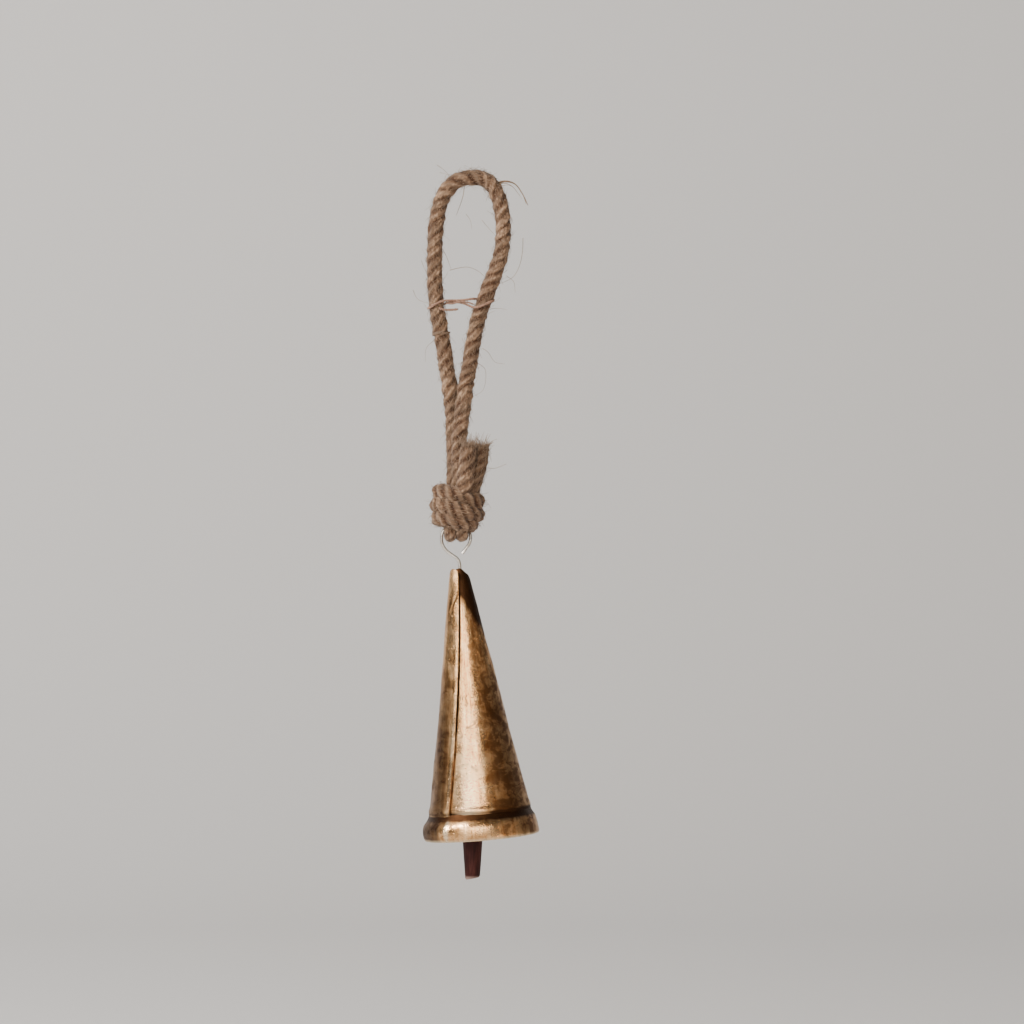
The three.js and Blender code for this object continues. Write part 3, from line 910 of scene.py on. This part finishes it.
def plateau(x, starts, full, falls, ends):
    """Nothing, then a rise to full and a fall back to nothing."""
    return smooth(x, starts, full) * (1 - smooth(x, falls, ends))


def cone_radius(along):
    return TIP_RADIUS + CONE_FLARE * along


def seam_azimuth(along):
    return SEAM_AT_TIP + (SEAM_AT_MOUTH - SEAM_AT_TIP) * along / CONE_LENGTH


def about_axis(azimuth, radius, along):
    """Places on the bell: the azimuth from the front towards the right, the distance down."""
    tip, axis, aside = (np.array(v) for v in (TIP, AXIS, ASIDE))
    front = np.array((0, -1, 0))
    return (
        tip
        + along[..., None] * axis
        + (radius * np.sin(azimuth))[..., None] * aside
        + (radius * np.cos(azimuth))[..., None] * front
    )


def tip_edge(azimuth):
    """How far down the axis the sheet's top edge lies, round the roll from the seam leftwards."""
    degrees = [-9, -25, -50, -72, -95, -130, -180, -230, -270, -310, -340, -369, -440]
    depths = [1.5, 0.35, 0.0, 0.8, 2.7, 2.4, 1.8, 2.2, 3.4, 1.6, 0.3, 0.0, 0.4]
    return np.interp(-np.degrees(azimuth), [-d for d in degrees], depths) * MM


def place_sheet(u, v):
    """The rolled sheet's outer face, from its edge over the seam round to its tucked one.

    With each place come its distances behind the one edge and beside the other, and its crease.
    """
    rng = np.random.default_rng(51)
    rows, columns = u.shape
    near = u * (0.6 + 0.4 * u)
    rough_along = v * CONE_LENGTH
    lap = np.minimum(LAP_WIDTH, 0.9 * cone_radius(rough_along)) / cone_radius(rough_along)
    azimuth = seam_azimuth(rough_along) - near * (TURN + lap)
    top = tip_edge(azimuth)
    along = top + (CONE_LENGTH - top) * v ** 1.05
    azimuth = seam_azimuth(along) - near * (TURN + lap)
    radius = cone_radius(along)
    behind = (seam_azimuth(along) - azimuth) * radius
    left = (TURN + lap) * radius - behind
    flat = smooth(along, 0.084, 0.0885)
    rise = LAP_STEP * (1 - smooth(behind, 0.004, LAP_FADE + 0.004)) * (1 - flat)
    rise += 0.00010 * hump(behind, 0.0011, 0.0006) * (1 - flat) * smooth(along, 0.012, 0.03)
    tucked = LAP_STEP * flat * (1 - smooth(left, LAP_WIDTH, LAP_WIDTH + 0.006))
    right_side = 1 - smooth(left, 0.45 * TURN * radius, 0.62 * TURN * radius)
    drawn_in = 0.0010 * np.clip(1 - along / 0.0045, 0, 1) ** 1.4 * right_side
    degrees = np.degrees(azimuth)
    lobe = 0.00035 * hump(along, 0.0048, 0.0032) * hump(degrees, -38, 34) * (behind < 0.02)
    crease_at = 0.0100 + 0.0037 * (-degrees - 20) / 19.5
    crease = CREASE_DEPTH * hump(along, crease_at, 0.0008) * hump(degrees, -30, 22) * (behind < 0.02)
    flare = 0.00030 * hump(along, 0.0862, 0.0010)
    beaten = 0.00014 * grain(rng, rows, columns, 8, 9) + 0.00008 * grain(rng, rows, columns, 26, 26)
    beaten *= smooth(along, 0.004, 0.02)
    radius = radius + rise - tucked - drawn_in + lobe - crease + flare + beaten
    beside = left - lap * radius
    return azimuth, radius, along, behind, beside, crease / CREASE_DEPTH


def shell_painted_light(azimuth, radius, along, behind, beside, crease):
    """Painted shade, painted highlight and painted shade on the right side of the sheet, each from nothing to
    full.
    """
    turned = np.degrees(azimuth) + 360
    low_down = smooth(along, 0.050, 0.066)
    on_right = plateau(turned, 5, 25, 90, 150)
    # Painted shade in the concave groove above the band.
    groove_shade = hump(along, 0.0873, 0.0012) * (0.8 + 0.2 * on_right)
    # Painted shadow under the lapped edge, and painted shade on the edge's cut face.
    under_edge_shadow = (1 - smooth(beside, 0.0001, 0.0005)) * (beside > -0.003) * (1 - 0.4 * low_down)
    edge_face_shade = 1.2 * (1 - smooth(behind, 0.00005, 0.00030)) * (1 - 0.45 * low_down)
    # Painted shade on the tip's right side, fading downwards and round to the back.
    fades_at = 0.0085 + 0.00016 * np.clip(turned + 10, 0, 90)
    round_back = behind / (TURN * radius)
    tip_shade = 1 - smooth(along, fades_at - 0.0025, fades_at + 0.0075)
    tip_shade *= smooth(round_back, 0.35, 0.75)
    # Painted shade over the lower left of the cone beyond the seam, and below on the right side.
    left_low_shade = 0.76 * smooth(along, 0.010, 0.060) * smooth(behind, 0.0005, 0.0030)
    left_low_shade *= 1 - 0.15 * smooth(behind, 0.005, 0.011)
    left_low_shade *= 1 - smooth(round_back, 0.25, 0.5)
    right_low_shade = 0.6 * smooth(along, 0.02, 0.05) * plateau(turned, 10, 30, 60, 130)
    # The crease gets painted shade too; all of these are darkened by the most of them.
    painted_shade = [groove_shade, 1.2 * under_edge_shadow, edge_face_shade, 0.9 * crease, tip_shade, left_low_shade, right_low_shade]
    # Painted highlight: a pale line just beside the seam's edge, and a paler front low down on the cone.
    seam_edge_highlight = 0.6 * hump(behind, 0.0010, 0.0004) * smooth(along, 0.045, 0.06)
    seam_edge_highlight *= 1 - 0.6 * smooth(along, 0.075, 0.085)
    front_highlight = 0.5 * smooth(along, 0.045, 0.085) * hump(turned, -14, 13)
    # Painted shade on the right side, which makes the dull patches thicker there.
    painted_side_shade = plateau(turned, 4, 20, 60, 130)
    return np.stack([np.maximum.reduce(painted_shade), np.maximum(seam_edge_highlight, front_highlight), painted_side_shade], -1)


def make_shell(brazing):
    bpy.ops.object.select_all(action="DESELECT")
    bpy.ops.mesh.primitive_grid_add(x_subdivisions=SHELL_COLUMNS - 1, y_subdivisions=SHELL_ROWS - 1, size=1)
    shell = bpy.context.object
    shell.name = "rolled_shell"
    mesh = shell.data
    flat = np.empty(len(mesh.vertices) * 3)
    mesh.vertices.foreach_get("co", flat)
    flat = flat.reshape(-1, 3)
    order = np.lexsort((flat[:, 0], flat[:, 1]))
    u = (flat[order, 0] + 0.5).reshape(SHELL_ROWS, SHELL_COLUMNS)
    v = (flat[order, 1] + 0.5).reshape(SHELL_ROWS, SHELL_COLUMNS)
    azimuth, radius, along, behind, beside, crease = place_sheet(u, v)

    def in_mesh_order(values):
        ordered = np.empty_like(flat)
        ordered[order] = values.reshape(-1, 3)
        return ordered

    mesh.vertices.foreach_set("co", in_mesh_order(about_axis(azimuth, radius, along)).ravel())
    mesh.update()
    give_vectors(shell, "sheet", in_mesh_order(np.stack([azimuth * 0.011, along, radius * 0], -1)))
    # The sheet's painted shade and painted highlight, carried to its colour as a vector attribute.
    painted_light = shell_painted_light(azimuth, radius, along, behind, beside, crease)
    give_vectors(shell, "painted_light", in_mesh_order(painted_light))
    select_only(shell)
    thick = shell.modifiers.new("thickness", "SOLIDIFY")
    thick.thickness = SHEET
    thick.offset = -1
    bpy.ops.object.modifier_apply(modifier="thickness")
    bpy.ops.object.shade_smooth_by_angle(angle=math.radians(40))
    shell.data.materials.append(brazing)
    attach(shell, "shell")
    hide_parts("bell_shell")


# The band's section as radius and distance down the axis, in millimetres.
BAND_SECTION = [
    (18.12, 87.3), (18.36, 87.7), (18.55, 88.2), (18.78, 88.8), (19.10, 89.4), (19.52, 90.0), (20.00, 90.7),
    (20.38, 91.5), (20.62, 92.4), (20.76, 93.3), (20.84, 94.2), (20.88, 95.0), (20.86, 95.8),
    (20.76, 96.4), (20.50, 96.80), (20.10, 96.92), (19.65, 96.88), (19.36, 96.64), (19.22, 96.35),
    (19.40, 95.6), (19.44, 94.5), (19.30, 93.0), (19.10, 91.5), (18.75, 90.0), (18.42, 88.6), (18.18, 87.8),
]

# Each bead of brazing down the band's joint: degrees round, distance down, size and height.
BEADS = [
    (-36.9, 0.0906, 0.0007, 0.00055), (-37.3, 0.0921, 0.0006, 0.00040), (-36.2, 0.0934, 0.0008, 0.00060),
    (-37.0, 0.0949, 0.0006, 0.00050), (-36.4, 0.0960, 0.0005, 0.00040), (-35.0, 0.0953, 0.0005, 0.00028),
]
BAND_STEPS = 360


def make_band(brazing):
    bpy.ops.object.select_all(action="DESELECT")
    bpy.ops.mesh.primitive_circle_add(vertices=len(BAND_SECTION), radius=0.001, location=(0, 0, 0))
    band = bpy.context.object
    band.name = "rolled_band"
    for vertex, (radius, along) in zip(band.data.vertices, BAND_SECTION):
        vertex.co = about_axis(np.array(0.0), np.array(radius * MM), np.array(along * MM))
    select_only(band)
    bpy.ops.object.mode_set(mode="EDIT")
    bpy.ops.mesh.select_all(action="SELECT")
    bpy.ops.mesh.spin(steps=BAND_STEPS, angle=TURN, center=TIP, axis=AXIS, use_auto_merge=False)
    bpy.ops.mesh.select_all(action="SELECT")
    bpy.ops.mesh.remove_doubles(threshold=0.00002)
    bpy.ops.mesh.normals_make_consistent(inside=False)
    bpy.ops.object.mode_set(mode="OBJECT")
    shape_band(band)
    bpy.ops.object.shade_smooth_by_angle(angle=math.radians(45))
    band.data.materials.append(brazing)
    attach(band, "shell")
    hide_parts("rim_band")


def shape_band(band):
    """Hammer marks, the lapped joint over the seam and the beads of brazing run along it."""
    mesh = band.data
    places = np.empty(len(mesh.vertices) * 3)
    mesh.vertices.foreach_get("co", places)
    places = places.reshape(-1, 3)
    from_tip = places - np.array(TIP)
    along = from_tip @ np.array(AXIS)
    aside = from_tip @ np.array(ASIDE)
    front = -from_tip[:, 1]
    azimuth = np.arctan2(aside, front)
    radius = np.hypot(aside, front)
    degrees = np.degrees(azimuth)
    behind = (SEAM_AT_MOUTH - 0.008 - azimuth) * radius
    outer = smooth(radius - cone_radius(along), 0.0009, 0.0016)
    lapped = (behind > -0.00018) * (1 - smooth(behind, 0.0012, 0.006)) * (behind < 0.02)
    beads = np.zeros_like(radius)
    for centre, down, size, height in BEADS:
        distance = np.hypot((degrees - centre) * math.pi / 180 * radius, along - down)
        beads += height * np.exp(-((distance / size) ** 2))
    hammered = 0.00007 * hammer_marks(azimuth, along)
    radius = radius + outer * (hammered + 0.00050 * lapped + beads)
    radius = radius - 0.0004 * np.sin(azimuth) * outer
    mesh.vertices.foreach_set("co", about_axis(azimuth, radius, along).ravel())
    mesh.update()
    give_vectors(band, "sheet", np.stack([azimuth * 0.02, along, radius * 0 + 0.3], -1))
    give_vectors(band, "painted_light", band_painted_light(degrees, radius, along, behind, beads))


def hammer_marks(azimuth, along):
    rng = np.random.default_rng(61)
    rows = 24
    table = grain(rng, rows, BAND_STEPS, 4, 40) * 0.6 + grain(rng, rows, BAND_STEPS, 9, 90) * 0.4
    column = ((azimuth / TURN * BAND_STEPS) % BAND_STEPS).astype(int)
    row = np.clip((along - 0.088) / 0.009 * (rows - 1), 0, rows - 1).astype(int)
    return table[row, column]


def band_painted_light(degrees, radius, along, behind, beads):
    """Painted shade, painted highlight and painted shade on the right side of the band, each from nothing to
    full.
    """
    on_right = plateau(degrees, 5, 25, 95, 150)
    # Painted shade: the band's top under the cone, the band beside its joint, its right side, and a line
    # under the lapped edge.
    painted_shade = [
        (1 - smooth(along, 0.0890, 0.0916)) * (0.92 + 0.08 * on_right),
        0.78 * plateau(behind, 0, 0.004, 0.02, 0.04),
        0.45 * plateau(degrees, 12, 30, 75, 120),
        0.75 * hump(behind, -0.0004, 0.0004) * (beads < 0.0001),
    ]
    # Painted highlight on the brazing beads and along the rim's lower edge.
    painted_highlight = np.clip(beads / 0.0004, 0, 1) + 0.9 * hump(along, 0.0967, 0.0004) * (radius > 0.0199)
    # Painted shade on the right side, thickening the dull patches there.
    painted_side_shade = 0.6 * plateau(degrees, 10, 30, 60, 120)
    return np.stack([np.maximum.reduce(painted_shade), painted_highlight, painted_side_shade], -1)


# -------------------- clapper

# The clapper's radius and height from its top to its end, in millimetres.
CLAPPER_SECTION = [
    (1.60, -196.42), (2.00, -196.75), (2.10, -197.4), (2.12, -199.0), (2.16, -201.5), (2.55, -209.0),
    (2.95, -217.5), (3.35, -226.0), (3.58, -232.0), (3.54, -236.5), (3.32, -240.0), (3.10, -243.5),
    (2.88, -246.6), (2.72, -248.9), (2.58, -249.45), (2.34, -249.72),
]
CLAPPER_SIDES = 64
END_SLOPE = 0.19
END_STARTS_Z = -0.2485
HOLE_RADIUS = 0.00095


def make_clapper(wood):
    middle = on_axis(INNER_EYE_DEPTH + INNER_EYE_RADIUS).x
    bpy.ops.object.select_all(action="DESELECT")
    first_radius, first_z = CLAPPER_SECTION[0]
    bpy.ops.mesh.primitive_circle_add(
        vertices=CLAPPER_SIDES,
        radius=first_radius * MM,
        fill_type="NGON",
        location=(middle, 0, first_z * MM),
    )
    clapper = bpy.context.object
    clapper.name = "turned_clapper"
    bpy.ops.object.transform_apply(location=True, rotation=True, scale=True)
    bpy.ops.object.mode_set(mode="EDIT")
    bpy.ops.mesh.select_all(action="SELECT")
    before, before_z = first_radius, first_z
    for radius, z in CLAPPER_SECTION[1:]:
        drop = (0, 0, (z - before_z) * MM)
        bpy.ops.mesh.extrude_region_move(TRANSFORM_OT_translate={"value": drop})
        grown = (radius / before, radius / before, 1)
        bpy.ops.transform.resize(value=grown, center_override=(middle, 0, z * MM))
        before, before_z = radius, z
    bpy.ops.mesh.inset(thickness=0.0009)
    bpy.ops.mesh.select_all(action="SELECT")
    bpy.ops.mesh.normals_make_consistent(inside=False)
    bpy.ops.object.mode_set(mode="OBJECT")
    for vertex in clapper.data.vertices:
        if vertex.co.z < END_STARTS_Z:
            vertex.co.z += END_SLOPE * (vertex.co.x - middle)
    drill_clapper(clapper, middle)
    select_only(clapper)
    bpy.ops.object.shade_smooth_by_angle(angle=math.radians(35))
    clapper.data.materials.append(wood)
    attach(clapper, "striker")
    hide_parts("clapper")


def drill_clapper(clapper, middle):
    hole = on_axis(INNER_EYE_DEPTH + INNER_EYE_RADIUS).z - LINK_DROP
    bpy.ops.object.select_all(action="DESELECT")
    bpy.ops.mesh.primitive_cylinder_add(
        vertices=32,
        radius=HOLE_RADIUS,
        depth=0.012,
        location=(middle, 0, hole),
        rotation=(math.pi / 2, 0, 0),
    )
    drill = bpy.context.object
    select_only(clapper)
    cut = clapper.modifiers.new("cross_hole", "BOOLEAN")
    cut.operation = "DIFFERENCE"
    cut.object = drill
    bpy.ops.object.modifier_apply(modifier="cross_hole")
    bpy.data.objects.remove(drill)


# -------------------- metal and wood


def brazing_group():
    """Brazed sheet iron: gold tone broken by dull patches, streaks, painted shade, painted highlights and
    pits.
    """
    tree, inside, out = new_group(
        "beaten_brazing",
        {"Sheet": "Vector", "Painted_light": "Vector"},
        {"Color": "Color", "Roughness": "Float", "Relief": "Float"},
    )
    sheet = inside["Sheet"]
    painted_light = node(tree, "ShaderNodeSeparateXYZ", {"Vector": inside["Painted_light"]})
    painted_shade, painted_highlight, painted_side_shade = painted_light.outputs["X"], painted_light.outputs["Y"], painted_light.outputs["Z"]
    clouds = noise(tree, sheet, 110, 5, 0.6, 0.3)
    streaks = streaked(tree, sheet, (900, 70, 900), 4, 0.6)
    blots = noise(tree, sheet, 260, 5, 0.65, 0.6)
    specks = noise(tree, sheet, 1500, 3, 0.6)
    gold_stops = [(0.34, (0.30, 0.125, 0.042)), (0.47, (0.66, 0.36, 0.155)), (0.60, (0.93, 0.60, 0.31))]
    colour = ramp(tree, shares(tree, clouds, 0.6, streaks, 0.4), gold_stops)
    # Dull patches differ at random, and are made thicker on the right side as painted shade.
    blotted = maths(tree, "ADD", blots, times(tree, painted_side_shade, 0.13))
    patch = ramp(tree, blotted, [(0.56, grey(0)), (0.68, grey(1))])
    # The painted shade, broken up by blots, turns the metal almost black.
    dark = ramp(tree, shares(tree, painted_shade, 0.8, blots, 0.4), [(0.38, grey(0)), (0.88, grey(1))])
    pits = ramp(tree, specks, [(0.61, grey(0)), (0.70, grey(1))])
    # Mixed in turn: dull patches, painted shade, painted highlight and pits.
    for where, over in (
        (times(tree, patch, 0.72), (0.14, 0.050, 0.012, 1)),
        (dark, (0.046, 0.020, 0.009, 1)),
        (times(tree, painted_highlight, 0.7, True), (0.97, 0.80, 0.55, 1)),
        (times(tree, pits, 0.75), (0.10, 0.040, 0.012, 1)),
    ):
        colour = mix_colour(tree, where, colour, over)
    rough = maths(tree, "ADD", shares(tree, clouds, 0.36, patch, 0.16), 0.085)
    rough = maths(tree, "ADD", rough, times(tree, dark, 0.2))
    relief = shares(tree, blots, 0.6, specks, 0.4)
    relief = maths(tree, "SUBTRACT", relief, times(tree, pits, 0.35))
    tree.links.new(colour, out["Color"])
    tree.links.new(rough, out["Roughness"])
    tree.links.new(relief, out["Relief"])
    return tree


def brazed_material(group):
    material, tree, shader = new_material("brazed_sheet_iron")
    made = node(tree, "ShaderNodeGroup", node_tree=group)
    # The second attribute carries painted shade, painted highlight and painted shade on the right side.
    for name in ("sheet", "painted_light"):
        attribute = node(tree, "ShaderNodeAttribute", attribute_name=name)
        tree.links.new(attribute.outputs["Vector"], made.inputs[name.capitalize()])
    colour, rough, relief = (made.outputs[name] for name in ("Color", "Roughness", "Relief"))
    set_shader(tree, shader, colour, rough, relief, 0.65, 0.0003, {"Metallic": 1.0})
    return material


def steel_material():
    material, tree, shader = new_material("drawn_steel_wire")
    place = node(tree, "ShaderNodeTexCoord").outputs["Object"]
    tarnish = noise(tree, place, 420, 4, 0.6)
    steel_stops = [(0.34, (0.30, 0.25, 0.20)), (0.48, (0.66, 0.62, 0.57)), (0.7, (0.82, 0.79, 0.74))]
    base = ramp(tree, tarnish, steel_stops)
    rough = ramp(tree, tarnish, [(0.3, grey(0.42)), (0.7, grey(0.24))])
    scratches = streaked(tree, place, (3000, 3000, 500), 2, 0.5)
    set_shader(tree, shader, base, rough, scratches, 0.15, 0.0001, {"Metallic": 1.0})
    return material


def wood_material():
    """Dark stained wood, its end worn pale where it strikes."""
    material, tree, shader = new_material("stained_wood")
    place = node(tree, "ShaderNodeTexCoord").outputs["Object"]
    rays = streaked(tree, place, (1500, 1500, 90), 5, 0.65)
    clouds = streaked(tree, place, (300, 300, 120), 3, 0.5)
    stain = [(0.34, (0.016, 0.0030, 0.0024)), (0.52, (0.042, 0.0080, 0.0062)), (0.68, (0.090, 0.022, 0.017))]
    base = ramp(tree, shares(tree, rays, 0.65, clouds, 0.35), stain)
    height = node(tree, "ShaderNodeSeparateXYZ", {"Vector": place}).outputs["Z"]
    ends = {"Value": height, "From Min": -0.2486, "From Max": -0.2496}
    low = node(tree, "ShaderNodeMapRange", ends).outputs[0]
    worn = mix_colour(tree, times(tree, low, 0.7), base, (0.40, 0.28, 0.24, 1))
    rough = ramp(tree, rays, [(0.3, grey(0.70)), (0.7, grey(0.50))])
    set_shader(tree, shader, worn, rough, rays, 0.45, 0.00015, {"Specular IOR Level": 0.22})
    return material


# -------------------- build

make_camera()
make_light()
make_stage()

fibres = fibre_group()
jute = jute_material("laid_jute", fibres)
shade_painted_jute = jute_material("shade_painted_jute", fibres)
hair_jute = jute_material("loose_jute_fibre", fibres)
tie_jute = jute_material("red_jute_yarn", fibres)
dark_thread = jute_material("dark_thread", fibres)

rope, rope_line = laid_rope("laid_rope", LOOP_ROUTE, jute, seed=3, swell=1.04)
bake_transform(rope)
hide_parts("rope_loop")

rope_hairs = fuzz_along(rope_line, ROPE_DIAMETER / 2, 9200, np.random.default_rng(5))
fuzz = hair_mesh("rope_fuzz", rope_hairs, hair_jute)
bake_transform(fuzz)

make_stray_fibres(hair_jute)
make_knot(jute, shade_painted_jute, hair_jute)
make_binding(tie_jute, dark_thread)

steel = steel_material()
make_wires(steel)
brazing = brazed_material(brazing_group())
make_shell(brazing)
make_band(brazing)
make_clapper(wood_material())
